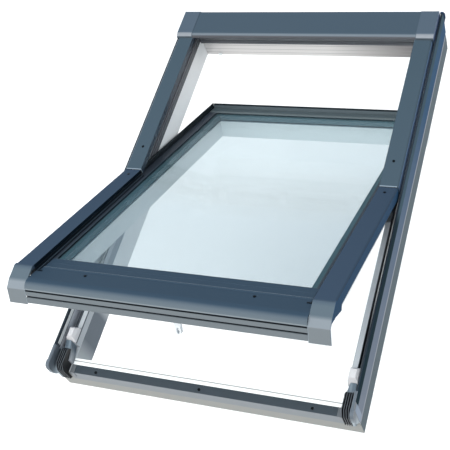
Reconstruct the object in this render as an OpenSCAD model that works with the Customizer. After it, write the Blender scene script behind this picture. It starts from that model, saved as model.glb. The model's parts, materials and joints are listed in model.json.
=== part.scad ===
// Centre-pivot roof skylight with its frame: plastic frame and sash, metal covers, double glazing.
// XY is the roof plane: +X right seen from outside, +Y up the slope, +Z outward.
// The origin is the centre of the frame on its room-side plane. Lengths in mm.

/* [Overall] */
// Outside width of the frame
frame_width = 780; // [550:10:1140]
// Outside height of the frame, along the slope
frame_height = 1180; // [780:10:1600]
// Depth from the room-side plane to the top of the side covers
frame_depth = 150; // [140:1:170]
// Opening angle of the sash as drawn
sash_open = 30.1; // [0:0.1:115]
// Distance of the pivot axis below the middle of the frame
pivot_drop = 12; // [0:1:40]

/* [Frame] */
// Thickness of the frame members in the roof plane
jamb_wall = 38; // [34:1:46]
// Width of the stop that stands inside the jamb
stop_width = 14; // [10:1:18]
// Width of the water channel outside the stop
channel_width = 16.5; // [12:0.5:20]
// Height of the stop below the cover plane
stop_drop = 51; // [49:0.5:56]
// Height of the sill ledge below the cover plane
sill_drop = 70.5; // [68:0.5:75]
// How far the cladding runs past the frame at both ends
cladding_overrun = 19; // [10:1:25]

/* [Sash] */
// Gap between sash and jamb on each side
sash_gap = 4; // [2.5:0.5:6]
// Gap between the sash and the head
head_gap = 18; // [16:0.5:24]
// Thickness of the sash from the cover plane
sash_depth = 96; // [90:1:96]
// Width of the sash stiles
stile_width = 45.6; // [40:0.1:55]
// Gap between sash bottom rail and sill
sill_gap = 7; // [6:0.5:10]

/* [Glazing] */
// Thickness of each pane
pane_thickness = 4; // [3:0.5:5]
// Width of the cavity between the panes
cavity = 16; // [12:1:18]
// Width of the spacer bar
spacer_width = 12; // [6:0.5:14]
// Depth of the outer glass face below the cover plane
glass_drop = 19; // [18:0.5:22]
// How far the panes run into the rebate
pane_cover = 22.6; // [18:0.1:24]

/* [Covers] */
// Width of the side covers
cover_width = 47.8; // [42:0.1:52]
// Setback of the side covers from the outside of the frame
cover_setback = 10.5; // [9.5:0.1:12]
// Thickness of the cover sheet
sheet = 1.4; // [1:0.1:2]
// Chamfer on the outer edge of the side covers
cover_chamfer = 3.5; // [2:0.5:4]
// Half of the split between upper and lower side covers
half_split = 1.5; // [1:0.1:3]
// Length of the hood over the head
hood_length = 100; // [80:1:120]
// Height of the hood above the side covers
hood_rise = 9; // [7:0.5:14]

/* [Hinge and lock] */
// Mean radius of the curved track about the pivot axis
track_radius = 39; // [36:0.5:40]
// Width of the curved track
track_width = 6; // [4:0.5:7]
// Running clearance on each side of the runner in its track
run_clear = 0.06; // [0.02:0.01:0.1]
// Radius of the handle spindle
spindle_radius = 4; // [3:0.5:5]
// Throw of the lock bolt
bolt_throw = 12; // [10:0.5:13]

/* [Hidden] */
$fn = 48;
hw = frame_width / 2;
yb = -frame_height / 2 + pivot_drop;
yt = frame_height / 2 + pivot_drop;
zr = -frame_depth;
xi = hw - jamb_wall;
y_head = yt - jamb_wall;
y_sill = yb + jamb_wall;
up_out = hw - 2;
up_in = hw - 5.5;
chan_in = up_in - channel_width;
stop_in = chan_in - stop_width;
chan_z = -66;
stop_z = -stop_drop;
ledge_z = -sill_drop;
gasket_x = (chan_in + stop_in) / 2;
xs = xi - sash_gap;
xsi = xs - stile_width;
ys_top = y_head - head_gap;
ys_head = ys_top - 51;
ys_bot = yb + 105;
ys_end = y_sill + sill_gap;
zs = -sash_depth;
pane_x = xsi + pane_cover;
pane_y0 = ys_bot - pane_cover;
pane_y1 = ys_head + pane_cover;
gz1 = -glass_drop;
gz0 = gz1 - 2 * pane_thickness - cavity;
seat_z = gz0 - 2;
pocket = pane_cover + 2.4;
cx1 = hw - cover_setback;
cx0 = cx1 - cover_width;
gc = gz1 + 1.5;
hood_y0 = yt - 12 - hood_length;
hood_y1 = yt - 12;
hinge_in = hw - 34;
hinge_out = hw - 23;
handle_y = yb + 66;
bolt_z = -88;
screw_x = hw - 37.3;

module on_frame() translate([0, -pivot_drop, frame_depth]) children();
module on_sash() on_frame() rotate([-sash_open, 0, 0]) children();
module both() { children(); mirror([1, 0, 0]) children(); }
module box(x0, x1, y0, y1, z0, z1) translate([x0, y0, z0]) cube([x1 - x0, y1 - y0, z1 - z0]);
module along_y(y0, y1) translate([0, y1, 0]) rotate([90, 0, 0]) linear_extrude(y1 - y0) children();
module along_x(x0, x1) translate([x0, 0, 0]) rotate([90, 0, 90]) linear_extrude(x1 - x0) children();
module pin(r, x, y, z0, z1) translate([x, y, z0]) cylinder(h = z1 - z0, r = r);
module screw(x, y, z, length) {
    pin(1.7, x, y, z - length, z);
    difference() {
        pin(3.4, x, y, z, z + 1.4);
        box(x - 2.2, x + 2.2, y - 0.4, y + 0.4, z + 0.7, z + 2);
    }
}
module screw_hole(x, y, z, length) pin(1.75, x, y, z - length - 0.5, z + 3);

// frame members, mitred at the four corners
module jamb_section() polygon([
    [xi, zr], [hw, zr], [hw, -100], [up_out, -86], [up_out, -12], [up_in, -12],
    [up_in, chan_z], [chan_in, chan_z], [chan_in, stop_z],
    [gasket_x + 1.5, stop_z], [gasket_x + 1.5, stop_z - 4], [gasket_x - 1.5, stop_z - 4],
    [gasket_x - 1.5, stop_z], [stop_in, stop_z], [xi, stop_z - 23.5]
]);
module jamb_end_section() polygon([
    [xi, zr], [hw, zr], [hw, -100], [up_out, -86], [up_out, -12], [up_in, -12],
    [up_in, chan_z], [hw - 14, chan_z], [hw - 14, ledge_z - 1.5], [xi, ledge_z - 1.5]
]);
module jamb_right() difference() {
    intersection() {
        union() {
            along_y(yb + 70, yt) jamb_section();
            along_y(yb, yb + 70) jamb_end_section();
        }
        translate([0, 0, zr - 1]) linear_extrude(frame_depth + 2)
            polygon([[xi, y_sill], [hw, yb], [hw, yt], [xi, y_head]]);
    }
    for (y = [-62, 62]) pin(2.05, (hinge_in + hinge_out) / 2, y, stop_z - 14, stop_z + 1);
    for (y = [-450 * frame_height / 1180, 450 * frame_height / 1180], z = [-137.5, -113.5])
        translate([hw - 25, y + pivot_drop, z]) rotate([0, 90, 0]) cylinder(h = 30, r = 2.2);
}
module frame_jamb_right() color([0.93, 0.94, 0.94]) on_frame() jamb_right();
module frame_jamb_left() color([0.93, 0.94, 0.94]) on_frame() mirror([1, 0, 0]) jamb_right();

module frame_head() color([0.93, 0.94, 0.94]) on_frame() intersection() {
    along_x(-hw, hw) polygon([
        [y_head, zr], [yt, zr], [yt, -100], [yt - 2, -86], [yt - 2, -12], [yt - 5.5, -12],
        [yt - 5.5, chan_z], [yt - 5.5 - channel_width, chan_z], [yt - 5.5 - channel_width, stop_z],
        [y_head + 2, stop_z], [y_head, stop_z - 5]
    ]);
    translate([0, 0, zr - 1]) linear_extrude(frame_depth + 2)
        polygon([[-hw, yt], [-xi, y_head], [xi, y_head], [hw, yt]]);
}

module frame_sill() color([0.93, 0.94, 0.94]) on_frame() difference() {
    intersection() {
        along_x(-hw, hw) polygon([
            [yb, zr], [y_sill, zr], [y_sill, ledge_z], [y_sill - 5.5, ledge_z],
            [y_sill - 5.5, ledge_z - 3], [y_sill - 7.5, ledge_z - 3], [y_sill - 7.5, ledge_z],
            [yb + 21, ledge_z], [yb + 21, ledge_z - 1.5], [yb, ledge_z - 1.5]
        ]);
        translate([0, 0, zr - 1]) linear_extrude(frame_depth + 2)
            polygon([[-hw, yb], [hw, yb], [xi, y_sill], [-xi, y_sill]]);
    }
    box(-22, 22, y_sill - 2, y_sill + 1, bolt_z - 16, bolt_z + 12);
    box(-9.5, 9.5, y_sill - bolt_throw + 2, y_sill, bolt_z - 7.5, bolt_z + 7.5);
    both() {
        box(xi, hw + 1, yb - 1, y_sill + 1, ledge_z - 1.5, 0);
        box(up_out, hw + 1, yb - 1, y_sill + 1, -100, 0);
    }
    for (x = [-0.72 * hw, 0, 0.72 * hw]) screw_hole(x, yb + 8, ledge_z, 12);
}

module lock_keeper() color([0.6, 0.62, 0.64]) on_frame() difference() {
    box(-22, 22, y_sill - 2, y_sill, bolt_z - 16, bolt_z + 12);
    box(-9, 9, y_sill - 3, y_sill + 1, bolt_z - 7, bolt_z + 7);
}

// cladding on the outside of the jambs
module cladding_section() polygon([
    [up_out, -86], [hw + 0.5, -86], [hw + 0.5, -35], [up_out + 0.9, -12], [up_out, -12]
]);
module cladding_right() {
    along_y(yb + 18, yt) cladding_section();
    // end block past the head, with its top corner cut off
    intersection() {
        union() {
            along_y(yt, yt + cladding_overrun) polygon([
                [hw - 8.5, -48], [hw + 0.5, -48], [hw + 0.5, -35], [up_out + 0.9, -12], [hw - 8.5, -12]
            ]);
            along_y(yt - 1, yt + cladding_overrun) cladding_section();
        }
        along_x(hw - 20, hw + 2) polygon([
            [yt - 2, -48], [yt + cladding_overrun, -48], [yt + cladding_overrun, -32],
            [yt + 5, -11], [yt - 2, -11]
        ]);
    }
}
module jamb_cladding_right() color([0.28, 0.37, 0.48]) on_frame() cladding_right();
module jamb_cladding_left() color([0.28, 0.37, 0.48]) on_frame() mirror([1, 0, 0]) cladding_right();

module corner_cap() {
    along_y(yb, yb + 18) cladding_section();
    along_y(yb, yb + 42) polygon([
        [up_in, -42], [hw - 8.5, -42], [hw - 8.5, -13], [hw - 6.5, -10.8], [up_out + 0.9, -10.8],
        [up_out + 0.9, -12], [up_in, -12]
    ]);
    along_x(hw - 8.5, hw + 0.5) polygon([
        [yb, -10.8], [yb - 9, -10.8], [yb - 15.5, -15], [yb - 19, -24], [yb - 19, -46],
        [yb - 15, -60], [yb - 5, -78], [yb, -82]
    ]);
}
module corner_cap_right() color([0.41, 0.49, 0.55]) on_frame() corner_cap();
module corner_cap_left() color([0.41, 0.49, 0.55]) on_frame() mirror([1, 0, 0]) corner_cap();

// height of the corner base, which rises up the slope
function base_top(y) = -52 + (y - yb - 21) * 2 / 7;
module corner_seal() {
    z0 = ledge_z - 1.5;
    for (i = [0 : 3]) along_x(hw - 33.5 + 5.2 * i, hw - 31.7 + 5.2 * i) polygon([
        [yb + 48, base_top(yb + 48) + 0.3], [yb + 48, -38], [yb + 40, -29], [yb + 1, -29],
        [yb - 10, -46], [yb - 10, -92], [yb - 2.2, -98], [yb - 2.2, z0], [yb + 20.7, z0],
        [yb + 20.7, base_top(yb + 20.7) + 0.3]
    ]);
    box(hw - 33.5, hw - 16.1, yb - 2, yb + 20.5, z0, z0 + 5);
    box(hw - 33.5, hw - 16.1, yb + 14, yb + 16, z0, -36);
}
module corner_seal_right() color([0.05, 0.06, 0.08]) on_frame() corner_seal();
module corner_seal_left() color([0.05, 0.06, 0.08]) on_frame() mirror([1, 0, 0]) corner_seal();

module corner_base() intersection() {
    along_x(xi, hw - 14) polygon([
        [yb + 21, ledge_z - 1.5], [yb + 70, ledge_z - 1.5], [yb + 70, base_top(yb + 70)],
        [yb + 21, base_top(yb + 21)]
    ]);
    translate([0, 0, ledge_z - 2]) linear_extrude(60) polygon([
        [xi, yb + 21], [hw - 14, yb + 21], [hw - 14, yb + 70], [xi + 10, yb + 70], [xi + 2, yb + 40]
    ]);
}
module corner_base_right() color([0.26, 0.33, 0.4]) on_frame() corner_base();
module corner_base_left() color([0.26, 0.33, 0.4]) on_frame() mirror([1, 0, 0]) corner_base();

module corner_blocks() color([0.3, 0.36, 0.42]) on_frame() both()
    along_x(hw - 13.8, hw - 8.7) polygon([
        [yb + 50, chan_z], [yb + 50, -40], [yb + 4, -40], [yb - 5, -44], [yb - 10, -53],
        [yb - 10, -90], [yb - 7, -97], [yb - 2, -100], [yb, -100], [yb, chan_z]
    ]);

module guide_block() intersection() {
    along_y(yb + 70, yb + 108) polygon([
        [stop_in + 0.3, stop_z], [stop_in + 0.3, -36], [stop_in + 6, -28], [hw - 18, -28],
        [hw - 13, -34], [hw - 13, chan_z], [chan_in, chan_z], [chan_in, stop_z]
    ]);
    along_x(xi, hw) polygon([
        [yb + 70, -70], [yb + 70, -44], [yb + 78, -28], [yb + 100, -28], [yb + 108, -40], [yb + 108, -70]
    ]);
}
module guide_block_right() color([0.9, 0.91, 0.91]) on_frame() guide_block();
module guide_block_left() color([0.9, 0.91, 0.91]) on_frame() mirror([1, 0, 0]) guide_block();

// dark metal strip on the sill with its front flange
module sill_cover() color([0.33, 0.37, 0.42]) on_frame() difference() {
    along_x(-xi + 0.2, xi - 0.2) polygon([
        [yb + 21, ledge_z - 1.5], [yb + 21, ledge_z + 0.3], [yb - 1.8, ledge_z + 0.3],
        [yb - 1.8, -106], [yb, -106], [yb, ledge_z - 1.5]
    ]);
    for (x = [-0.72 * hw, 0, 0.72 * hw]) screw_hole(x, yb + 8, ledge_z, 12);
}
module sill_end_clips() color([0.5, 0.55, 0.6]) on_frame() both()
    along_x(xi - 12, xi - 0.2) polygon([
        [yb + 20.5, ledge_z + 0.3], [yb + 20.5, ledge_z + 1.5], [yb - 3, ledge_z + 1.5],
        [yb - 3, -90], [yb - 1.8, -90], [yb - 1.8, ledge_z + 0.3]
    ]);
module sill_screws() color([0.2, 0.23, 0.26]) on_frame()
    for (x = [-0.72 * hw, 0, 0.72 * hw]) screw(x, yb + 8, ledge_z + 0.3, 12);

// strips and gaskets of the frame
module channel_strip() box(up_in - 1.3, up_in, yb + 51, yt - 42, -31, -20);
module channel_strip_right() color([0.2, 0.23, 0.27]) on_frame() channel_strip();
module channel_strip_left() color([0.2, 0.23, 0.27]) on_frame() mirror([1, 0, 0]) channel_strip();

module stop_gasket() color([0.15, 0.16, 0.18]) on_frame() both() difference() {
    box(gasket_x - 1.5, gasket_x + 1.5, yb + 70, y_head, stop_z - 4, stop_z);
    for (y = [-62, 62]) pin(2.05, (hinge_in + hinge_out) / 2, y, stop_z - 14, stop_z + 1);
}
module upper_gasket() color([0.16, 0.17, 0.19]) on_frame() both() {
    along_y(85, y_head - 14) polygon([
        [xi - 2, -78], [xi - 2, -72], [xi - 1, -71], [xi - 2, -70], [xi - 2, -64], [xi - 1, -63],
        [xi - 2, -62], [xi - 2, -55], [xi - 1, -52], [xi, -52 - 22.5], [xi, -79], [xi - 1, -79]
    ]);
}
module head_gasket() color([0.14, 0.15, 0.17]) on_frame() along_x(-xi, xi) polygon([
    [y_head, -91], [y_head - 10, -91], [y_head - 13, -88], [y_head - 13, -76], [y_head - 11.5, -74.5],
    [y_head - 13, -73], [y_head - 13, -62], [y_head - 9, -57], [y_head, -57]
]);
module head_clip() color([0.9, 0.9, 0.9]) on_frame()
    box(-hw + 77, -hw + 88, y_head - 4, y_head, zr + 1, zr + 8);

// hood over the head with its end caps
function hood_path(o) = [
    [hood_y1 + o, -40], [hood_y1 + o, hood_rise - 3 + o / 2], [hood_y1 - 3 + o / 2, hood_rise + o],
    [hood_y0 + 15, hood_rise + o], [hood_y0 + 8 - o / 2, hood_rise - 1.5 + o],
    [hood_y0 + 3 - o * 0.7, hood_rise - 4.5 + o * 0.7], [hood_y0 + 0.5 - o, 0]
];
function reversed(p) = [for (i = [len(p) - 1 : -1 : 0]) p[i]];
module hood_cover() color([0.32, 0.39, 0.45]) on_frame()
    along_x(-hw + 8.5, hw - 8.5) polygon(concat(hood_path(0), reversed(hood_path(-1.5))));
module hood_cap() {
    along_x(hw - 55.5, hw - 8.5) polygon(concat(hood_path(1.2), reversed(hood_path(0))));
    along_x(hw - 8.5, hw - 7) polygon(concat(hood_path(1.2), [[hood_y0 - 0.7, -34], [hood_y0 + 6, -40]]));
}
module hood_cap_right() color([0.36, 0.43, 0.5]) on_frame() hood_cap();
module hood_cap_left() color([0.36, 0.43, 0.5]) on_frame() mirror([1, 0, 0]) hood_cap();
module hood_brackets() color([0.55, 0.56, 0.58]) on_frame() both() for (x = [0.3 * hw, 0.85 * hw])
    along_x(x - 10, x + 10) polygon([
        [y_head + 2, stop_z], [yt - 22.5, stop_z], [yt - 22.5, hood_rise - 1.5],
        [y_head + 2, hood_rise - 1.5]
    ]);

// side covers of the upper half, fixed to the frame
module cover_section(outer, inner) polygon([
    [cx0, -inner], [cx0, 0], [cx1 - cover_chamfer, 0], [cx1, -cover_chamfer], [cx1, -outer],
    [cx1 - sheet, -outer], [cx1 - sheet, -cover_chamfer - 0.6], [cx1 - cover_chamfer - 0.6, -sheet],
    [cx0 + sheet, -sheet], [cx0 + sheet, -inner]
]);
upper_screw = 91.5;
module upper_cover() difference() {
    along_y(half_split, yt - 42) cover_section(31, 16.5);
    box(cx0 - 1, cx0 + sheet + 1, ys_top - 12, yt, -20, -sheet);
    screw_hole(screw_x, upper_screw - 12, 0, 12);
}
module upper_cover_right() color([0.32, 0.39, 0.45]) on_frame() upper_cover();
module upper_cover_left() color([0.32, 0.39, 0.45]) on_frame() mirror([1, 0, 0]) upper_cover();
module upper_cover_brackets() color([0.55, 0.56, 0.58]) on_frame() both() difference() {
    for (y = [upper_screw - 12, 0.5 * yt, yt - 112])
        along_y(y - 7, y + 7) polygon([
            [stop_in + 0.5, stop_z], [hw - 24, stop_z], [hw - 24, -sheet], [hw - 41, -sheet],
            [hw - 41, -14], [stop_in + 0.5, -22]
        ]);
    screw_hole(screw_x, upper_screw - 12, 0, 11);
}
module upper_cover_screws() color([0.2, 0.23, 0.26]) on_frame() both()
    screw(screw_x, upper_screw - 12, 0, 10);

// curved-track pivot hinge: its axis lies in the cover plane, at the split of the side covers
module hinge_track() difference() {
    union() {
        intersection() {
            translate([hinge_in, 0, 0]) rotate([0, 90, 0])
                cylinder(h = hinge_out - hinge_in, r = 48, $fn = 96);
            box(hinge_in - 1, hinge_out + 1, -60, 60, -60, -1.6);
        }
        box(hinge_in, hinge_out, -70, 70, stop_z, stop_z + 4);
    }
    translate([hinge_in - 1, 0, 0]) rotate([0, 90, 0]) difference() {
        cylinder(h = 8, r = track_radius + track_width / 2, $fn = 96);
        translate([0, 0, -1]) cylinder(h = 10, r = track_radius - track_width / 2, $fn = 96);
    }
    translate([hinge_in - 1, 0, 0]) rotate([0, 90, 0]) cylinder(h = 20, r = 26, $fn = 96);
    for (y = [-62, 62]) pin(2.05, (hinge_in + hinge_out) / 2, y, stop_z - 1, stop_z + 6);
}
module hinge_track_right() color([0.62, 0.64, 0.66]) on_frame() hinge_track();
module hinge_track_left() color([0.62, 0.64, 0.66]) on_frame() mirror([1, 0, 0]) hinge_track();
module hinge_screws() color([0.55, 0.57, 0.6]) on_frame() both() for (y = [-62, 62]) {
    pin(2, (hinge_in + hinge_out) / 2, y, stop_z - 12, stop_z + 4);
    pin(4, (hinge_in + hinge_out) / 2, y, stop_z + 4, stop_z + 6);
}
module hinge_runners() color([0.58, 0.6, 0.62]) on_sash() both() {
    box(xs, xs + 3.4, -18, 46, -48, -3.5);
    intersection() {
        translate([xs, 0, 0]) rotate([0, 90, 0]) difference() {
            cylinder(h = hinge_in + 6.6 - xs, r = track_radius + track_width / 2 - run_clear, $fn = 96);
            translate([0, 0, -1])
                cylinder(h = 60, r = track_radius - track_width / 2 + run_clear, $fn = 96);
        }
        along_x(xs, xs + 40) polygon([[0, 0], [70 * cos(5), -70 * sin(5)], [70 * cos(27), -70 * sin(27)]]);
    }
}

// sash members
module stile() box(xsi, xs, ys_bot, ys_head, zs, gz1);
module stile_right() difference() {
    stile();
    box(xsi - 1, xsi + pocket, ys_bot - 1, ys_head + 1, seat_z, gz1 + 1);
}
module sash_stile_right() color([0.86, 0.88, 0.89]) on_sash() stile_right();
module sash_stile_left() color([0.86, 0.88, 0.89]) on_sash() mirror([1, 0, 0]) stile_right();
module sash_top_rail() color([0.86, 0.88, 0.89]) on_sash() difference() {
    box(-xs, xs, ys_head, ys_top, zs, gz1);
    box(-xsi - pocket, xsi + pocket, ys_head - 1, ys_head + pocket, seat_z, gz1 + 1);
}
module sash_bottom_rail() color([0.86, 0.88, 0.89]) on_sash() difference() {
    along_x(-xs, xs) polygon([
        [ys_bot, zs], [ys_end, zs], [ys_end, -66], [yb + 21, -66], [yb + 21, -58], [yb + 38, -52],
        [yb + 38, gz1], [ys_bot, gz1]
    ]);
    box(-xsi - pocket, xsi + pocket, ys_bot - pocket, ys_bot + 1, seat_z, gz1 + 1);
    box(-6.2, 6.2, ys_end - 1, ys_end + bolt_throw + 3, bolt_z - 5.2, bolt_z + 5.2);
    pin(spindle_radius + run_clear, 0, handle_y, zs - 1, zs + 10);
    for (x = [-0.518 * hw, 0.518 * hw]) screw_hole(x, yb + 36 + 4, gz1, 12);
}

// glazing unit
module outer_pane() color([0.8, 0.88, 0.9, 0.4]) on_sash()
    box(-pane_x, pane_x, pane_y0, pane_y1, gz1 - pane_thickness, gz1);
module inner_pane() color([0.8, 0.88, 0.9, 0.4]) on_sash()
    box(-pane_x, pane_x, pane_y0, pane_y1, gz0, gz0 + pane_thickness);
module glass_ring(a, b, z0, z1) difference() {
    box(-xsi - b, xsi + b, ys_bot - b, ys_head + b, z0, z1);
    box(-xsi - a, xsi + a, ys_bot - a, ys_head + a, z0 - 1, z1 + 1);
}
module spacer_bar() color([0.5, 0.56, 0.6]) on_sash()
    glass_ring(0, spacer_width, gz0 + pane_thickness, gz1 - pane_thickness);
module edge_seal() color([0.1, 0.1, 0.11]) on_sash()
    glass_ring(spacer_width, pane_cover - 1, gz0 + pane_thickness, gz1 - pane_thickness);
module inner_glazing_gasket() color([0.1, 0.1, 0.11]) on_sash() glass_ring(0.5, 9, seat_z, gz0);
module outer_glazing_gasket() color([0.1, 0.11, 0.12]) on_sash() difference() {
    box(-xsi - 14.6, xsi + 14.6, ys_bot - 3, ys_head + 6, gz1, gz1 + 1.4);
    box(-xsi - 13.1, xsi + 13.1, ys_bot - 1.5, ys_head + 4.5, gz1 - 1, gz1 + 3);
}
module setting_blocks() color([0.2, 0.2, 0.22]) on_sash() for (x = [-0.55 * hw, 0.55 * hw])
    box(x - 40, x + 40, ys_bot - pocket, pane_y0, gz0, gz1 - 1);

module glazing_side() box(xsi + 14.6, xs - 8, ys_bot - 3, ys_head + 6, gz1, gc);
module glazing_cover_right() color([0.3, 0.36, 0.4]) on_sash() glazing_side();
module glazing_cover_left() color([0.3, 0.36, 0.4]) on_sash() mirror([1, 0, 0]) glazing_side();
module glazing_cover_top() color([0.3, 0.36, 0.4]) on_sash()
    box(-xs + 8, xs - 8, ys_head + 6, ys_top - 6, gz1, gc);
module perimeter_seal() color([0.08, 0.09, 0.1]) on_sash() {
    both() along_y(2, ys_top) polygon([
        [xs - 7, gz1], [xs, gz1], [xs, -8], [xs - 2, -3.4], [xs - 4, -3.4], [xs - 5, -12], [xs - 7, -12]
    ]);
    along_x(-xs + 7, xs - 7) polygon([
        [ys_top - 6, gz1], [ys_top, gz1], [ys_top, -8], [ys_top - 2, -3.4], [ys_top - 4, -3.4],
        [ys_top - 5, -12], [ys_top - 6, -12]
    ]);
}

// side covers of the lower half with their folded noses, fixed to the sash
lower_screw = -32;
// how far the cover gaskets stand out beside the covers
gasket_lip = 8.4;
module lower_cover() difference() {
    union() {
        along_y(yb + 38, -half_split) cover_section(27.4, 8.8);
        along_x(cx0, cx1) polygon([
            [yb + 38, 0], [yb + 30, 0], [yb, -20], [yb - 14, -36], [yb - 14, -74],
            [yb - 14 + sheet, -74], [yb - 14 + sheet, -36.6], [yb + 0.7, -20 - sheet],
            [yb + 30.6, -sheet], [yb + 38, -sheet]
        ]);
        along_x(cx1 - sheet, cx1) polygon([
            [yb + 70, -20], [yb + 69, -27.4], [yb + 64, -39.5], [yb + 25, -31], [yb - 6, -28.5],
            [yb, -20.5], [yb + 30, -0.5], [yb + 40, -3.6], [yb + 60, -20]
        ]);
        along_x(cx0, cx0 + sheet) polygon([
            [yb + 38, 0], [yb + 30, 0], [yb, -20], [yb - 14, -36], [yb - 14, -48], [yb - 4, -30],
            [yb + 24, -9], [yb + 38, -8.8]
        ]);
    }
    screw_hole(screw_x, lower_screw, 0, 12);
}
module lower_cover_right() color([0.25, 0.32, 0.4]) on_sash() lower_cover();
module lower_cover_left() color([0.25, 0.32, 0.4]) on_sash() mirror([1, 0, 0]) lower_cover();
module gasket_section(base) polygon([
    [cx0 - gasket_lip, base], [cx0 - gasket_lip, gc + 3.6], [cx0 - gasket_lip + 1.4, gc + 4.8],
    [cx0 - gasket_lip + 2.8, gc + 3.6], [cx0 - gasket_lip + 3.4, gc + 2.2], [cx0 + 0.2, gc + 2.2],
    [cx0 + 0.2, -8.8], [cx0 + 5, -8.8], [cx0 + 5, base]
]);
module cover_gaskets() color([0.08, 0.09, 0.1]) on_sash() both() {
    along_y(ys_bot - 3, -2) gasket_section(gc);
    along_y(yb + 38, ys_bot - 3) gasket_section(gz1);
    box(cx0 - gasket_lip - 8, cx0 - gasket_lip + 0.1, yb + 38.5, yb + 42, gz1 + 3.5, gz1 + 5.5);
}
module lower_cover_clips() color([0.55, 0.56, 0.58]) on_sash() both() difference() {
    union() {
        for (y = [0.35 * yb, 0.6 * yb, yb + 90]) box(xs - 7, xs - 1, y - 8, y + 8, gz1, -sheet);
        box(xs - 7, hinge_in - 0.5, lower_screw - 6, lower_screw + 6, -13, -sheet);
        box(xs - 7, xs, lower_screw - 6, lower_screw + 6, gz1, -12.9);
    }
    screw_hole(screw_x, lower_screw, 0, 12);
}

module bottom_cover() color([0.25, 0.32, 0.4]) on_sash() difference() {
    along_x(-cx0 + 0.4, cx0 - 0.4) polygon([
        [ys_bot - 3, gz1], [ys_bot - 3, gz1 + 1.5], [ys_bot - 21.5, gz1 + 1.5],
        [ys_bot - 22.2, gz1 + 0.7], [ys_bot - 23, gz1 + 1.5], [yb + 62, gz1 + 1.5],
        [yb + 61, gz1 + 3.5], [yb + 57, gz1 + 3.5], [yb + 56, gz1 + 2.6], [yb + 52, gz1 + 2.6],
        [yb + 51, gz1 + 3.5], [yb + 6, gz1 + 3.5], [yb - 3, -17.5], [yb - 8, -20.5],
        [yb - 12, -25.5], [yb - 14, -32], [yb - 14, -36], [yb - 11.5, -36.5], [yb - 11.5, -39.5],
        [yb - 14, -40], [yb - 14, -51], [yb - 11.5, -51.5], [yb - 11.5, -55.5], [yb - 14, -56],
        [yb - 14, -70], [yb - 10, -70], [yb - 10, -33], [yb - 7, -26], [yb - 1, -21.5], [yb + 7, gz1]
    ]);
    both() box(cx0 - gasket_lip - 0.3, cx0 + 1, yb + 37.7, ys_bot, gz1 - 1, gz1 + 6);
    for (x = [-0.518 * hw, 0.518 * hw]) screw_hole(x, yb + 36 + 4, gz1 + 3.5, 12);
}
module sash_screws() color([0.2, 0.23, 0.26]) on_sash() {
    both() screw(screw_x, lower_screw, 0, 10);
    for (x = [-0.518 * hw, 0.518 * hw]) screw(x, yb + 36 + 4, gz1 + 3.5, 14);
}

// turning handle with its eye, and the bolt it drives
module handle() color([0.88, 0.87, 0.83]) on_sash() {
    pin(spindle_radius, 0, handle_y, zs - 3.5, zs + 9);
    pin(15, 0, handle_y, zs - 4.5, zs - 0.4);
    translate([0, handle_y, 0]) along_y(-5, 5) difference() {
        polygon([[-17, zs - 4.5], [17, zs - 4.5], [11, zs - 18], [6.5, zs - 36], [7, zs - 43],
            [7, zs - 54], [3, zs - 60], [-3, zs - 60], [-7, zs - 54], [-7, zs - 43],
            [-6.5, zs - 36], [-11, zs - 18]]);
        polygon([[-3.4, zs - 43], [0, zs - 38.5], [3.4, zs - 43], [3.4, zs - 52], [0, zs - 56.5],
            [-3.4, zs - 52]]);
    }
}
module lock_bolt() color([0.62, 0.64, 0.66]) on_sash()
    box(-6, 6, ys_end + 0.5, ys_end + bolt_throw + 2.5, bolt_z - 5, bolt_z + 5);

frame_sill();
frame_head();
frame_jamb_left();
frame_jamb_right();
jamb_cladding_left();
jamb_cladding_right();
corner_cap_left();
corner_cap_right();
corner_seal_left();
corner_seal_right();
corner_base_left();
corner_base_right();
corner_blocks();
guide_block_left();
guide_block_right();
sill_cover();
sill_end_clips();
sill_screws();
channel_strip_left();
channel_strip_right();
stop_gasket();
upper_gasket();
head_gasket();
head_clip();
lock_keeper();
hood_cover();
hood_cap_left();
hood_cap_right();
hood_brackets();
upper_cover_left();
upper_cover_right();
upper_cover_brackets();
upper_cover_screws();
hinge_track_left();
hinge_track_right();
hinge_screws();
sash_bottom_rail();
sash_top_rail();
sash_stile_left();
sash_stile_right();
outer_pane();
inner_pane();
spacer_bar();
edge_seal();
inner_glazing_gasket();
outer_glazing_gasket();
setting_blocks();
glazing_cover_top();
glazing_cover_left();
glazing_cover_right();
perimeter_seal();
cover_gaskets();
lower_cover_left();
lower_cover_right();
lower_cover_clips();
bottom_cover();
sash_screws();
hinge_runners();
handle();
lock_bolt();
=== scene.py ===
import json
import math
import bpy
import bmesh
from mathutils import Matrix, Vector


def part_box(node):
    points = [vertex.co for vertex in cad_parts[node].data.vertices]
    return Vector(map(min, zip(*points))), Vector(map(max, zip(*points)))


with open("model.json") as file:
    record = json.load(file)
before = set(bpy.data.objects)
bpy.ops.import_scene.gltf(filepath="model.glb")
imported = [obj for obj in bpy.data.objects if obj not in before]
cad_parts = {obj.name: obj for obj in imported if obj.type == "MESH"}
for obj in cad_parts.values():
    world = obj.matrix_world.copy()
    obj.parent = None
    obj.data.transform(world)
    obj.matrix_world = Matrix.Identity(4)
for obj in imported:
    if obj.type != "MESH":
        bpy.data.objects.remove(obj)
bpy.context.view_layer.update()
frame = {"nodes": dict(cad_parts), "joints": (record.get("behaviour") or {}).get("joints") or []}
nodes = frame["nodes"]

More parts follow.
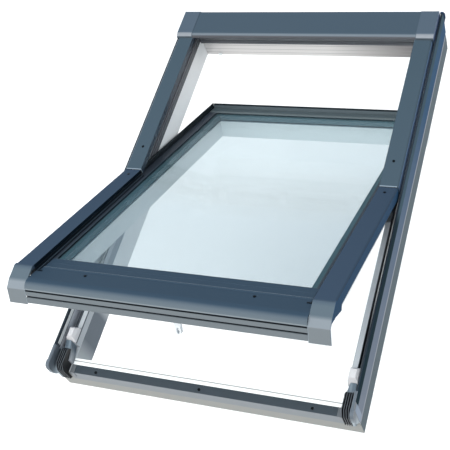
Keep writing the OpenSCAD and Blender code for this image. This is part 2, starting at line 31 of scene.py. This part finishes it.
# ---- frame profiles ----
# Four welded members of extruded white PVC. Painted shade turns their outer faces an even grey and
# darkens the water channel, and the top of the upstand is dark. Places are in millimetres from the
# hinge
# axis: x across, y up the slope, z out from the roof, with 0 at the level of the covers.
hinge = [j for j in frame["joints"] if j["name"] == "sash_pivot"][0]
pivot = Vector(hinge["pos_m"])
shut_angle = math.radians(-hinge["range_deg"][0])
half_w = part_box("frame_head")[1].x * 1000
jamb_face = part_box("head_gasket")[1].x * 1000
y_low = (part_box("frame_jamb_right")[0].y - pivot.y) * 1000
y_high = (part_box("frame_jamb_right")[1].y - pivot.y) * 1000
stop_level = (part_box("stop_gasket")[1].z - pivot.z) * 1000
sill_level = (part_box("frame_sill")[1].z - pivot.z) * 1000
# beyond the part on every side
far = 2000
# levels and edges of the profiles
lining_edge = stop_level - 23.3
lining_grooves = (-108.5, -124.5, -139)
lining_change = -340
shade_end = -310
stop_side = jamb_face + 15.7
channel_floor = -66.5
upstand_side = jamb_face + 32.5
upstand_in = half_w - 5.8
upstand_bend = -21
upstand_step = -36
outer_face_edge = half_w - 1.9
sill_ledge = y_low + 31


def linear(code):
    """An sRGB hex colour as linear RGBA."""
    out = []
    for i in (0, 2, 4):
        v = int(code[i:i + 2], 16) / 255
        out.append(v / 12.92 if v <= 0.04045 else ((v + 0.055) / 1.055) ** 2.4)
    return (*out, 1.0)


def add(tree, kind, links=None, out=0, **settings):
    """Add a shader node with its settings and inputs, and give back one of its outputs."""
    n = tree.nodes.new(kind)
    for k, v in settings.items():
        setattr(n, k, v)
    for k, v in (links or {}).items():
        if isinstance(v, bpy.types.NodeSocket):
            tree.links.new(v, n.inputs[k])
        else:
            n.inputs[k].default_value = v
    return n.outputs[out]


def surface(name, rough, metallic=0.0, spec=0.3):
    """A new material; gives back its tree and its shader, whose settings are the same all over."""
    m = bpy.data.materials.new(name)
    m.use_nodes = True
    b = m.node_tree.nodes["Principled BSDF"]
    b.inputs["Roughness"].default_value = rough
    b.inputs["Metallic"].default_value = metallic
    b.inputs["Specular IOR Level"].default_value = spec
    return m.node_tree, b


def measured(tree, on_sash=False):
    """Place from the hinge axis in metres, square to the frame or to the sash: vector, |x|, y, z."""
    at = add(tree, "ShaderNodeTexCoord", out="Object")
    at = add(tree, "ShaderNodeVectorMath", {0: at, 1: tuple(-pivot)})
    if on_sash:
        turned = {"Vector": at, "Angle": shut_angle}
        at = add(tree, "ShaderNodeVectorRotate", turned, rotation_type="X_AXIS")
    x, y, z = [add(tree, "ShaderNodeSeparateXYZ", {0: at}, out=i) for i in range(3)]
    return at, add(tree, "ShaderNodeMath", {0: x}, operation="ABSOLUTE"), y, z


def within(tree, value, low, high, soft=0.3):
    """1 where a value in metres lies between two limits in millimetres, 0 outside them."""
    ends = [add(tree, "ShaderNodeMapRange", {"Value": value, "From Min": (e - soft) / 1000,
                                             "From Max": (e + soft) / 1000}) for e in (low, high)]
    return add(tree, "ShaderNodeMath", {0: ends[0], 1: ends[1]}, operation="SUBTRACT", use_clamp=True)


def over(tree, under, code, *masks):
    """Lay one colour over another where all the masks are 1."""
    where = masks[0]
    for m in masks[1:]:
        where = add(tree, "ShaderNodeMath", {0: where, 1: m}, operation="MULTIPLY")
    return add(tree, "ShaderNodeMix", {0: where, 6: under, 7: linear(code)}, out=2, data_type="RGBA")


def coat(tree, shader, at, colour, patch, depth, rough, grain=0.0):
    """Lay the colour on the shader with the slight unevenness of its making: cloudy patches of tone and
    gloss, patch millimetres across, and a fine grain whose sizes are in millimetres too."""
    grain_size = 1.43
    grain_height = 0.2
    n = add(tree, "ShaderNodeTexNoise", {"Vector": at, "Scale": 1000 / patch, "Detail": 4.0,
                                         "Roughness": 0.6})
    tone = add(tree, "ShaderNodeMapRange", {"Value": n, "From Min": 0.3, "From Max": 0.7,
                                            "To Min": 1 - depth, "To Max": 1 + depth})
    colour = add(tree, "ShaderNodeHueSaturation", {"Color": colour, "Value": tone})
    gloss = add(tree, "ShaderNodeMapRange", {"Value": n, "To Min": rough[0], "To Max": rough[1]})
    tree.links.new(colour, shader.inputs["Base Color"])
    tree.links.new(gloss, shader.inputs["Roughness"])
    if grain:
        g = add(tree, "ShaderNodeTexNoise", {"Vector": at, "Scale": 1000 / grain_size, "Detail": 2.0})
        bump = add(tree, "ShaderNodeBump", {"Height": g, "Strength": grain,
                                            "Distance": grain_height / 1000})
        tree.links.new(bump, shader.inputs["Normal"])


def put_on(tree, *names):
    """Put a material on the named pieces."""
    for n in names:
        mesh = nodes[n].data
        mesh.materials.clear()
        mesh.materials.append([m for m in bpy.data.materials if m.node_tree == tree][0])


# Extruded PVC: smooth and satin, with hardly any highlight
t, b = surface("white_pvc", 0.4, 0.0, 0.02)
at, ax, y, z = measured(t)
x = add(t, "ShaderNodeSeparateXYZ", {0: at})
c = linear("E6EAEB")
# room lining: painted shade low on the jambs and on the head, deepening toward the right of the head,
# painted light high on the jambs, and three fine grooves
lining = within(t, z, -far, lining_edge)
jamb_lining = within(t, ax, jamb_face - 0.5, jamb_face + 0.5)
head_lining = within(t, y, y_high - 38.5, y_high - 37)
c = over(t, c, "6B727A", jamb_lining, lining, within(t, y, y_low + 38.5, lining_change, 60))
c = over(t, c, "F0F1F2", jamb_lining, lining, within(t, y, lining_change, far, 60))
c = over(t, c, "DEDAD9", head_lining, lining)
c = over(t, c, "7F7C7D", head_lining, lining, within(t, x, 180, far, 130))
for level in lining_grooves:
    c = over(t, c, "9B9B9A", head_lining, within(t, z, level - 0.6, level + 0.6, 0.6))
# the stop that the sash shuts on, greyed with painted shade, with painted shade lines along its inner
# and outer edges; shade is the lower stretch of the jambs, where painted shade darkens some faces
shade = within(t, y, -far, shade_end, 50)
c = over(t, c, "A7ADB3", within(t, ax, jamb_face - 1, stop_side), within(t, z, stop_level - 23, 0))
c = over(t, c, "5C6167", shade, within(t, ax, jamb_face + 1.2, jamb_face + 2.8),
         within(t, z, stop_level - 4, 0))
c = over(t, c, "3A4047", within(t, ax, stop_side - 1.4, stop_side + 0.1),
         within(t, z, stop_level - 1, stop_level + 10))
# the upstand's inner face: a dark band at the top and two bands of painted shade below it; painted
# shade on the channel's floor and, nearly black, on its side wall; and the upstand's dark top
upstand_face = within(t, ax, upstand_side - 0.2, upstand_side + 0.2, 0.1)
c = over(t, c, "2C343C", upstand_face, within(t, z, upstand_bend, 0))
c = over(t, c, "50565D", shade, upstand_face, within(t, z, upstand_step, upstand_bend))
c = over(t, c, "B4B9C3", shade, upstand_face, within(t, z, channel_floor - 0.5, upstand_step, 2))
c = over(t, c, "5E646D", shade, within(t, ax, stop_side + 0.6, upstand_in + 0.1),
         within(t, z, channel_floor, stop_level - 4))
c = over(t, c, "0B1014", within(t, ax, stop_side - 0.2, stop_side + 0.8),
         within(t, z, channel_floor - 1.5, stop_level + 0.5))
c = over(t, c, "2A3138", within(t, ax, upstand_in, half_w), within(t, z, -12.5, 0))
# painted shade on the outer faces, an even grey, and a painted highlight in a band below the cladding
c = over(t, c, "4D5B62", within(t, ax, outer_face_edge, half_w + 10, 0.1))
c = over(t, c, "3D4A53", within(t, y, y_high - 4, far, 0.1))
c = over(t, c, "90949C", within(t, ax, outer_face_edge, half_w - 0.2, 0.1), within(t, z, -100, -86))
# painted shade on the sill's front, and the line along its ledge
c = over(t, c, "8A8C8A", within(t, y, y_low - 1, y_low + 0.5), within(t, z, -far, sill_level - 1))
c = over(t, c, "A3A6A9", within(t, y, sill_ledge - 1.5, sill_ledge + 1.5),
         within(t, ax, -far, jamb_face + 1), within(t, z, sill_level - 5, 0))
coat(t, b, at, c, 333, 0.015, (0.36, 0.44))
put_on(t, "frame_sill", "frame_head", "frame_jamb_left", "frame_jamb_right", "head_clip")

# ---- guide blocks ----
# White injection-moulded nylon blocks screwed into the channel, where the shut sash comes to rest. The
# mould gives them a faint grain and a soft gloss.
t, b = surface("moulded_nylon", 0.4)
at = measured(t)[0]
coat(t, b, at, linear("BCBDC1"), 83, 0.02, (0.36, 0.44), 0.05)
put_on(t, "guide_block_left", "guide_block_right")

# ---- jamb cladding ----
# Roll-formed aluminium sheet with a slate blue coating, clipped to the outer faces of the jambs. The
# coating is nearly matt. The folded shoulder carries painted shade, deeper on its lower stretch and on
# its top fold, painted light pales the face toward the sill, and painted shade darkens the end beyond
# the head.
shoulder_level = -35.2
shoulder_dark = -70
top_fold = -12.8
pale_from = 300
t, b = surface("coated_aluminium_cladding", 0.55, 0.0, 0.006)
at, ax, y, z = measured(t)
low_end = within(t, y, -far, (pale_from + y_low) / 2, (pale_from - y_low) / 2)
c = over(t, linear("3A5774"), "79818D", low_end)
shoulder = within(t, z, shoulder_level, 0, 0.6)
c = over(t, c, "415560", shoulder)
c = over(t, c, "162A32", shoulder, within(t, y, -far, shoulder_dark, 20))
c = over(t, c, "1C2A38", within(t, z, top_fold, 0))
c = over(t, c, "1B2F4A", within(t, y, y_high, y_high + 100))
coat(t, b, at, c, 250, 0.03, (0.5, 0.6), 0.05)
put_on(t, "jamb_cladding_left", "jamb_cladding_right")

# ---- lower corners ----
# Moulded ABS caps close the ends of the jambs over the sill: slate and satin, with painted light on the
# rounded nose and a bluer painted sheen on the outer face.
t, b = surface("moulded_abs_cap", 0.42)
at, ax, y, z = measured(t)
c = linear("525B64")
c = over(t, c, "6A7C92", within(t, ax, half_w - 0.3, half_w + 10, 0.2), within(t, y, y_low, far))
c = over(t, c, "8C99A2", within(t, y, -far, y_low - 3, 3), within(t, z, -far, -45, 15))
coat(t, b, at, c, 111, 0.03, (0.4, 0.48), 0.1)
put_on(t, "corner_cap_left", "corner_cap_right", "corner_blocks")

# The base under each cap is of the same plastic, with a painted sheen at its lower end and along its
# rib
t, b = surface("moulded_abs_base", 0.4)
at, ax, y, z = measured(t)
c = over(t, linear("4C5A66"), "9499A0", within(t, y, -far, y_low + 37.5, 17.5))
c = over(t, c, "66747F", within(t, ax, jamb_face + 9, jamb_face + 15, 2))
coat(t, b, at, c, 111, 0.04, (0.36, 0.44), 0.1)
put_on(t, "corner_base_left", "corner_base_right")

# Soft black rubber fins, matt, with painted highlights along their narrow edges
t, b = surface("finned_rubber", 0.5)
at, ax, y, z = measured(t)
sideways = add(t, "ShaderNodeSeparateXYZ", {0: add(t, "ShaderNodeTexCoord", out="Normal")})
sideways = add(t, "ShaderNodeMath", {0: sideways}, operation="ABSOLUTE")
narrow = add(t, "ShaderNodeMath", {0: sideways, 1: 0.5}, operation="LESS_THAN")
c = over(t, linear("0A0D12"), "454B51", narrow, within(t, z, -50, 0, 6))
c = over(t, c, "454B51", narrow, within(t, y, -far, y_low - 9, 1))
coat(t, b, at, c, 50, 0.05, (0.45, 0.55), 0.1)
put_on(t, "corner_seal_left", "corner_seal_right")

# ---- sill strip ----
# Folded sheet screwed on the sill, with a dark slate satin coating and painted light on the front
# flange.
# A short clip of the same sheet, with painted light on its flange too, covers each end.
for name, piece, top, flange, front_edge, patch in (
        ("coated_sill_sheet", "sill_cover", "343C43", "6C7379", y_low - 1, 143),
        ("coated_clip_sheet", "sill_end_clips", "5B6065", "70757B", y_low - 2, 111)):
    t, b = surface(name, 0.42, 0.1)
    at, ax, y, z = measured(t)
    c = over(t, linear(top), flange, within(t, y, -far, front_edge))
    coat(t, b, at, c, patch, 0.02, (0.4, 0.46), 0.05)
    put_on(t, piece)

# ---- frame seals ----
# Extruded rubber, matt with a fine grain. The upper gaskets and the head gasket are grey and ribbed
# along their length, with painted shade in the hollows between the ribs and a painted highlight on one.
t, b = surface("ribbed_grey_rubber", 0.5)
at, ax, y, z = measured(t)
c = linear("5A5C62")
for level, code in ((-62, "484B50"), (-74.5, "3C3F43"), (-80.5, "3A3D41"), (-69, "63676A")):
    c = over(t, c, code, within(t, z, level - 1.5, level + 1.5, 1.2))
coat(t, b, at, c, 71, 0.04, (0.45, 0.55), 0.1)
put_on(t, "upper_gasket", "head_gasket")

# The stop gasket is pale grey, and the strips in the channels are nearly white
for name, pieces, code, depth in (
        ("pale_stop_rubber", ("stop_gasket",), "A4AAB0", 0.03),
        ("white_strip_rubber", ("channel_strip_left", "channel_strip_right"), "C4C9CC", 0.04)):
    t, b = surface(name, 0.5)
    at = measured(t)[0]
    coat(t, b, at, linear(code), 50, depth, (0.45, 0.55), 0.1)
    put_on(t, *pieces)

# ---- hood ----
# Roll-formed aluminium hood over the head, coated slate, satin. Its lip is folded down and under and
# has a painted highlight along its edge; the two end caps are a little paler, with a brighter painted
# highlight on their lip and painted shade below it and on their outer side.
hood_front = (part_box("hood_cover")[0].y - pivot.y) * 1000
hood_bend = 5.8
cap_bend = 4.2
t, b = surface("slate_coated_aluminium", 0.4, 0.2)
at, ax, y, z = measured(t)
c = over(t, linear("3D4B57"), "606A73", within(t, y, -far, hood_front + 11.5, 1.5),
         within(t, z, hood_bend, 20, 0.6))
c = over(t, c, "494B50", within(t, y, -far, hood_front + 9, 1), within(t, z, -100, hood_bend, 0.8))
coat(t, b, at, c, 200, 0.01, (0.38, 0.42), 0.05)
put_on(t, "hood_cover")

t, b = surface("slate_coated_end_cap", 0.4, 0.2)
at, ax, y, z = measured(t)
c = over(t, linear("485562"), "7A8087", within(t, y, -far, hood_front + 12, 2),
         within(t, z, cap_bend, 20, 1.2))
c = over(t, c, "3A444C", within(t, y, -far, hood_front + 9, 1), within(t, z, -100, cap_bend, 1.2))
c = over(t, c, "2B4468", within(t, ax, half_w - 7.2, half_w, 0.1))
c = over(t, c, "46535F", within(t, ax, -far, half_w - 54.5, 0.6))
coat(t, b, at, c, 167, 0.01, (0.38, 0.42), 0.05)
put_on(t, "hood_cap_left", "hood_cap_right")

# ---- upper side covers ----
# The same coated sheet. The top is even slate, the folded outer side has a bluer painted sheen, the
# inner skirt is nearly black with painted shade, and the cut at the split between upper and lower
# covers shows as a painted highlight, a pale line.
cover_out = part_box("upper_cover_right")[1].x * 1000
cover_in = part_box("upper_cover_right")[0].x * 1000
t, b = surface("slate_coated_side_cover", 0.4, 0.2)
at, ax, y, z = measured(t)
c = over(t, linear("3C4B56"), "556F92", within(t, ax, cover_out - 0.4, far, 0.1))
c = over(t, c, "22303F", within(t, ax, -far, cover_in + 0.2, 0.1))
c = over(t, c, "7E8C98", within(t, y, -far, 4, 0.4), within(t, ax, -far, cover_out - 4))
coat(t, b, at, c, 200, 0.01, (0.38, 0.42), 0.05)
put_on(t, "upper_cover_left", "upper_cover_right")

# ---- zinc plated steel: brackets, hinge housings, runners, keeper and bolt ----
# Pressed and plated parts: bright grey metal with a fine uneven lustre.
t, b = surface("zinc_plated_steel", 0.4, 1.0, 0.5)
at = measured(t)[0]
coat(t, b, at, linear("9DA2A6"), 33, 0.06, (0.34, 0.46), 0.1)
put_on(t, "hood_brackets", "upper_cover_brackets", "lock_keeper", "lock_bolt",
       "hinge_track_left", "hinge_track_right", "hinge_runners", "hinge_screws")

# ---- sash members ----
# Extruded white PVC like the frame, a little glossier. The lower ends of the stiles and the bottom rail
# carry painted shade, nearly black, under the noses of the covers.
shade_below = -522
shade_beside = 320
t, b = surface("white_pvc_sash", 0.3)
at, ax, y, z = measured(t, True)
c = over(t, linear("E6EAEB"), "0C1218", within(t, y, -far, shade_below), within(t, z, -35, 0),
         within(t, ax, shade_beside, far))
coat(t, b, at, c, 333, 0.015, (0.27, 0.33))
put_on(t, "sash_bottom_rail", "sash_top_rail", "sash_stile_left", "sash_stile_right")

# ---- glazing unit ----
# Two panes of clear float glass, 4 mm each: hardly any tint, and a sharp reflection that grows at a
# slant and varies slightly over the pane.
t, b = surface("clear_float_glass", 0.02)
t.nodes.remove(b)
at = measured(t, True)[0]
wave = add(t, "ShaderNodeTexNoise", {"Vector": at, "Scale": 1000 / 770, "Detail": 1.0})
clear = add(t, "ShaderNodeBsdfTransparent", {"Color": linear("F4F7F8")})
gloss = add(t, "ShaderNodeBsdfGlossy", {"Color": linear("DDE8EE"), "Roughness": 0.02})
slant = add(t, "ShaderNodeLayerWeight", {"Blend": 0.5})
share = add(t, "ShaderNodeMapRange", {"Value": wave, "To Min": 0.096, "To Max": 0.144})
share = add(t, "ShaderNodeMath", {0: slant, 1: share}, operation="MULTIPLY")
glass = add(t, "ShaderNodeMixShader", {0: share, 1: clear, 2: gloss})
t.links.new(glass, t.nodes["Material Output"].inputs["Surface"])
put_on(t, "outer_pane", "inner_pane")

# The spacer between the panes is aluminium, dulled and greenish behind the glass
t, b = surface("dull_aluminium_spacer", 0.45, 0.3)
at = measured(t, True)[0]
coat(t, b, at, linear("4C6770"), 83, 0.04, (0.4, 0.5))
put_on(t, "spacer_bar")

# The edge seal and the blocks that the unit stands on are dark matt rubber
t, b = surface("black_edge_seal", 0.6)
at = measured(t, True)[0]
coat(t, b, at, linear("2E3A42"), 50, 0.04, (0.55, 0.65))
put_on(t, "edge_seal", "setting_blocks")

# The rubber on the room side is pale and that on the weather side dark; at the top painted shade
# darkens the pale one and painted light lightens the dark one
for name, piece, code, top_code, top_from in (
        ("grey_glazing_rubber", "inner_glazing_gasket", "E4EAEE", "8496A0", 400),
        ("dark_glazing_rubber", "outer_glazing_gasket", "36434C", "5A676E", 490)):
    t, b = surface(name, 0.5)
    at, ax, y, z = measured(t, True)
    c = over(t, linear(code), top_code, within(t, y, top_from, far))
    coat(t, b, at, c, 50, 0.04, (0.45, 0.55))
    put_on(t, piece)

# ---- glazing strips and seals of the sash ----
# Flat strips with a grey satin coating hold the glass. The side strips are darkened with painted shade,
# and the top strip has a painted highlight, a paler line along it.
top_strip = 500
t, b = surface("coated_glazing_strip", 0.4, 0.1)
at, ax, y, z = measured(t, True)
c = over(t, linear("4C585D"), "616B6D", within(t, y, top_strip, top_strip + 12.5))
c = over(t, c, "2A313A", within(t, ax, 300, far), within(t, y, -far, top_strip))
coat(t, b, at, c, 125, 0.03, (0.36, 0.44), 0.05)
put_on(t, "glazing_cover_top", "glazing_cover_left", "glazing_cover_right")

# Black rubber seals run under the covers and round the upper half, each with a grey bead
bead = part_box("cover_gaskets")[1].x * 1000
t, b = surface("black_seal_rubber", 0.45)
at, ax, y, z = measured(t, True)
c = over(t, linear("0C141C"), "3A4651", within(t, ax, bead - 10, bead - 7.5, 0.5))
coat(t, b, at, c, 50, 0.05, (0.4, 0.5), 0.1)
put_on(t, "cover_gaskets")

seal_top = 539.5
t, b = surface("black_perimeter_rubber", 0.45)
at, ax, y, z = measured(t, True)
c = over(t, linear("0B161D"), "4D585E", within(t, y, seal_top, far), within(t, z, -far, -8.5, 1))
coat(t, b, at, c, 50, 0.05, (0.4, 0.5), 0.1)
put_on(t, "perimeter_seal")

# ---- lower side covers ----
# Coated sheet, nearly matt, with noses folded down over the corners in three flats. Painted light and
# shade give each face its own tone: deep slate on top, steel grey on the first flat, pale on the second
# and neutral grey on the front, a bluer tone on the outer side and painted shade, nearly black, on the
# inner skirt.
fold = y_low + 30
second_flat = -20.5
front_flat = -36.2
t, b = surface("slate_coated_nose_cover", 0.5, 0.0, 0.01)
at, ax, y, z = measured(t, True)
inner_skirt = within(t, ax, -far, cover_in + 0.2, 0.1)
c = over(t, linear("324050"), "4A565F", within(t, y, -far, fold - 1, 8))
c = over(t, c, "6B737A", within(t, y, -far, fold, 2), within(t, z, -far, second_flat, 3))
c = over(t, c, "646B70", within(t, z, -far, front_flat, 0.5))
c = over(t, c, "6A7075", within(t, z, front_flat - 1.3, front_flat, 0.4))
c = over(t, c, "27435E", within(t, ax, cover_out - 0.3, far, 0.1))
c = over(t, c, "0E1720", inner_skirt, within(t, y, fold + 8, far))
c = over(t, c, "727C84", within(t, ax, -far, cover_in + 1.2), within(t, z, -far, -18, 1))
coat(t, b, at, c, 200, 0.01, (0.46, 0.54), 0.05)
put_on(t, "lower_cover_left", "lower_cover_right")

# ---- bottom cover ----
# Extruded aluminium across the foot of the sash: flat at the back with a fine ridge that carries a
# painted highlight, then a rounded front with two deep grooves. Painted light pales the coat round the
# bend and on the front, and painted shade darkens the grooves.
grooves = (-38, -53.5)
ridge = y_low + 61.5
t, b = surface("slate_coated_bottom_cover", 0.5, 0.0, 0.08)
at, ax, y, z = measured(t, True)
front = within(t, y, -far, y_low - 12, 1)
c = over(t, linear("2C3B49"), "515B63", within(t, y, -far, y_low - 8.5, 5))
c = over(t, c, "5E656A", front, within(t, z, -far, -36, 0.6))
c = over(t, c, "6C757B", front, within(t, z, -36.2, -32.5, 1))
for level in grooves:
    c = over(t, c, "11161B", within(t, z, level - 2.2, level + 2.2, 0.4), within(t, y, -far, y_low - 8))
c = over(t, c, "7F8A93", within(t, y, ridge - 1, ridge + 1, 0.4))
coat(t, b, at, c, 200, 0.01, (0.46, 0.54), 0.05)
put_on(t, "bottom_cover")

# ---- screws and clips ----
# Countersunk steel screws and the clips of the lower covers, with a dark coating and a dull gleam.
t, b = surface("dark_coated_screw", 0.4, 0.6)
at = measured(t)[0]
coat(t, b, at, linear("0C1014"), 17, 0.05, (0.36, 0.46))
put_on(t, "sill_screws", "upper_cover_screws", "sash_screws", "lower_cover_clips")

# ---- handle ----
# Pale moulded plastic lever on its spindle, smooth, with an eye at the tip for a pole hook.
t, b = surface("moulded_cream_plastic", 0.35)
at = measured(t, True)[0]
coat(t, b, at, linear("CDD3D8"), 100, 0.02, (0.3, 0.4))
put_on(t, "handle")

# ---- floor ----
# A pale, matt floor below the lowest point of the opened sash.
floor_drop = 1.3
floor_reach = 14.0
bm = bmesh.new()
bmesh.ops.create_grid(bm, x_segments=1, y_segments=1, size=floor_reach)
bmesh.ops.translate(bm, verts=bm.verts, vec=(0, 0, pivot.z - floor_drop))
mesh = bpy.data.meshes.new("floor")
bm.to_mesh(mesh)
bm.free()
floor = bpy.data.objects.new("floor", mesh)
bpy.context.scene.collection.objects.link(floor)
t, b = surface("pale_floor", 0.9, spec=0.2)
at = add(t, "ShaderNodeTexCoord", out="Object")
coat(t, b, at, linear("F5F5F5"), 1670, 0.004, (0.88, 0.92))
mesh.materials.append(bpy.data.materials["pale_floor"])

# ---- sky ----
# A ramp from the side of the window's head, dim and blue, to the side of its sill, bright and white.
world = bpy.data.worlds.new("studio")
bpy.context.scene.world = world
world.use_nodes = True
t = world.node_tree
toward = add(t, "ShaderNodeSeparateXYZ", {0: add(t, "ShaderNodeTexCoord", out="Generated")}, out=1)
toward = add(t, "ShaderNodeMapRange", {"Value": toward, "From Min": 1.0, "From Max": -1.0})
sky = t.nodes.new("ShaderNodeValToRGB")
t.links.new(toward, sky.inputs[0])
ends = {0.0: 0, 1.0: -1}
for place, color in ((0.0, (0.15, 0.22, 0.31)), (0.26, (0.27, 0.37, 0.45)), (0.36, (0.6, 0.68, 0.74)),
                     (0.55, (1.0, 1.0, 1.0)), (1.0, (0.95, 0.95, 0.95))):
    stop = sky.color_ramp.elements[ends[place]] if place in ends else sky.color_ramp.elements.new(place)
    stop.position = place
    stop.color = (*color, 1.0)
t.links.new(sky.outputs[0], t.nodes["Background"].inputs["Color"])

# ---- lamps ----
# Two large soft lamps, one from the front left and one overhead, that don't show in reflections.
for name, place, aim, size, power, color in (
        ("key", (-1.2, -2.6, 3.8), (0, -0.1, 0), (3.0, 2.4), 170, "FFFDF8"),
        ("top", (0.3, 0.2, 4.6), (0, 0, -0.2), (4.0, 4.0), 190, "FFFFFF")):
    light = bpy.data.lights.new(name, "AREA")
    light.shape = "RECTANGLE"
    light.size, light.size_y = size
    light.energy = power
    light.color = linear(color)[:3]
    lamp = bpy.data.objects.new(name, light)
    lamp.location = place
    lamp.rotation_euler = (Vector(aim) - Vector(place)).to_track_quat("-Z", "Y").to_euler()
    lamp.visible_glossy = False
    bpy.context.scene.collection.objects.link(lamp)

# ---- camera ----
# A long lens in front, above and to the right. The rows of its turn are its right, up and backward
# directions.
eye = Vector((0.8707, -1.3026, 1.8906))
turn = Matrix(((0.9215, 0.2739, -0.2754), (-0.0839, 0.8326, 0.5474), (0.3792, -0.4813, 0.7903)))
lens = bpy.data.cameras.new("camera")
lens.lens = 75.39
lens.sensor_width = 36
camera = bpy.data.objects.new("camera", lens)
camera.matrix_world = Matrix.Translation(pivot + eye) @ turn.transposed().to_4x4()
bpy.context.scene.collection.objects.link(camera)
bpy.context.scene.camera = camera
bpy.context.scene.view_settings.view_transform = "Standard"
